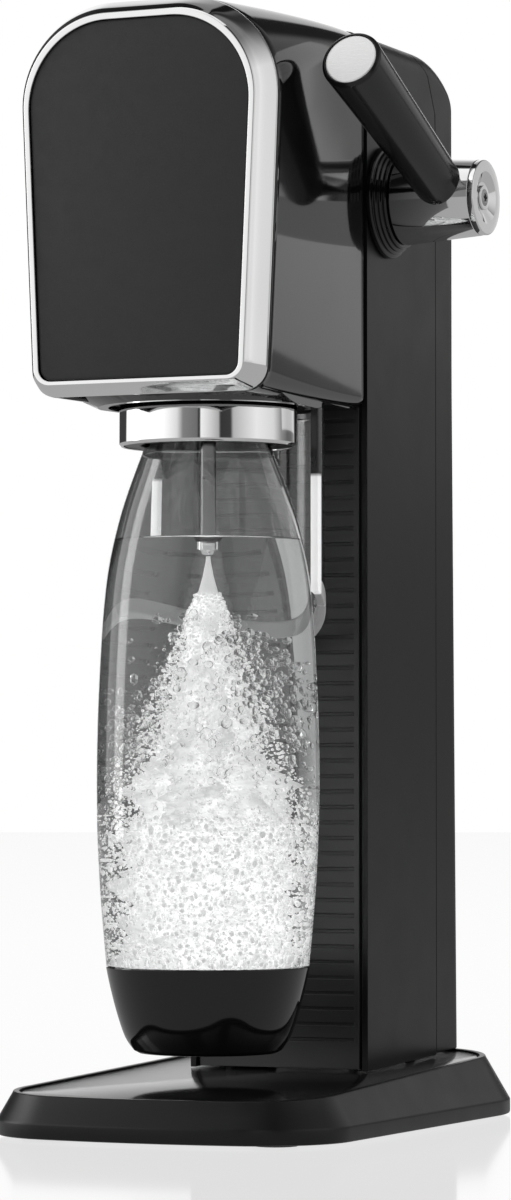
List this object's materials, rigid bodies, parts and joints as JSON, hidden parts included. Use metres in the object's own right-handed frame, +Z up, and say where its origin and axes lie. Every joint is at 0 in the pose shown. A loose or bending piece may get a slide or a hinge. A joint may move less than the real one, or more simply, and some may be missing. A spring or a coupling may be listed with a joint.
{
  "type": "soda carbonator",
  "caption": "Counter-top soda carbonator: wedge base, upright gas column, bezelled head with side lever, tilting bottle holder and clear bottle with a base cup.",
  "frame": {"origin": "middle of the base's underside, on the resting plane to within a millimetre", "axes": "+Z up, -Y towards the front of the machine (faceplate and bottle), +X towards the side that carries the lever"},
  "size_m": [0.1536, 0.25, 0.435],
  "materials": {
    "satin_black": "satin",
    "gloss_black": "high gloss",
    "charcoal": "fine satin",
    "chrome_trim": "polished",
    "brushed_disc": "brushed",
    "rubber_black": "matt",
    "clear_bottle": "clear",
    "clear_shield": "clear",
    "grey_plastic": "matt",
    "plain_steel": "plain",
    "brass_fitting": "plain",
    "cylinder_paint": "semi-gloss"
  },
  "bodies": {
    "housing": {"base_shell": "satin_black", "base_deck": "satin_black", "base_bottom_cover": "satin_black", "foot_front_left": "rubber_black", "foot_front_right": "rubber_black", "foot_rear_left": "rubber_black", "foot_rear_right": "rubber_black", "column_bolt_1": "plain_steel", "column_bolt_2": "plain_steel", "column_bolt_3": "plain_steel", "column_bolt_4": "plain_steel", "column_shell": "satin_black", "column_front_panel": "satin_black", "head_shell": "gloss_black", "head_bezel": "chrome_trim", "head_faceplate": "charcoal", "head_underside_cover": "gloss_black", "lever_flange": "gloss_black", "shaft_bush_left": "grey_plastic", "shaft_bush_right": "grey_plastic", "chassis_plate_left": "grey_plastic", "chassis_plate_right": "grey_plastic", "chassis_screw_left": "plain_steel", "chassis_screw_right": "plain_steel", "valve_tray": "grey_plastic", "valve_block": "grey_plastic", "gas_cylinder": "cylinder_paint", "cylinder_valve": "brass_fitting", "cylinder_rest": "satin_black", "valve_pin_spring": "plain_steel", "rocker_pin": "plain_steel", "gas_hose": "rubber_black", "hose_union": "brass_fitting"},
    "lever": {"lever_hub": "chrome_trim", "lever_arm": "satin_black", "lever_end_disc": "brushed_disc", "hub_end_cap": "chrome_trim", "hub_screw": "plain_steel", "lever_shaft": "plain_steel", "lever_cam": "grey_plastic", "lever_return_spring": "plain_steel"},
    "rocker": {"valve_rocker": "grey_plastic"},
    "valve_pin": {"valve_pin": "plain_steel"},
    "lock_handle": {"cylinder_lock_handle": "grey_plastic"},
    "holder": {"collar_ring": "chrome_trim", "collar_insert": "satin_black", "carbonation_head": "satin_black", "bottle_shield": "clear_shield", "bottle_seal": "rubber_black", "nozzle_tube": "plain_steel", "nozzle_collar": "rubber_black", "nozzle_tip": "chrome_trim", "pivot_pin_left": "plain_steel", "pivot_pin_right": "plain_steel", "relief_valve": "brass_fitting"},
    "bottle": {"bottle": "clear_bottle", "bottle_base_cup": "gloss_black"},
    "rear_cover": {"rear_cover": "satin_black"}
  },
  "joints": [
    {"name": "lever_swing", "type": "hinge", "parent": "housing", "child": "lever", "pos_m": [0, 0.0314, 0.368], "axis": [1, 0, 0], "range_deg": [0, 38], "stiffness_Nm_per_rad": 0.9, "springref_deg": -20.05},
    {"name": "rocker_tilt", "type": "hinge", "parent": "housing", "child": "rocker", "pos_m": [0, 0.016, 0.358], "axis": [1, 0, 0], "range_deg": [-4.2, 0]},
    {"name": "valve_pin_press", "type": "slide", "parent": "housing", "child": "valve_pin", "axis": [0, 0, 1], "range_m": [-0.0033, 0], "deforming": ["valve_pin_spring"]},
    {"name": "holder_tilt", "type": "hinge", "parent": "housing", "child": "holder", "pos_m": [0, -0.08, 0.293], "axis": [-1, 0, 0], "range_deg": [0, 15]},
    {"name": "bottle_drop", "type": "slide", "parent": "holder", "child": "bottle", "axis": [0, 0, -1], "range_m": [0, 0.007]},
    {"name": "rear_cover_slide", "type": "slide", "parent": "housing", "child": "rear_cover", "axis": [0, 0.9993, 0.037], "range_m": [0, 0.06]},
    {"name": "cylinder_lock_lift", "type": "hinge", "parent": "housing", "child": "lock_handle", "pos_m": [0, 0.062, 0.335], "axis": [1, 0, 0], "range_deg": [0, 60]}
  ],
  "couplings": [
    {"joint": "rocker_tilt", "follows": "lever_swing", "ratio": -0.10526},
    {"joint": "valve_pin_press", "follows": "lever_swing", "m_per_rad": -0.004825}
  ]
}
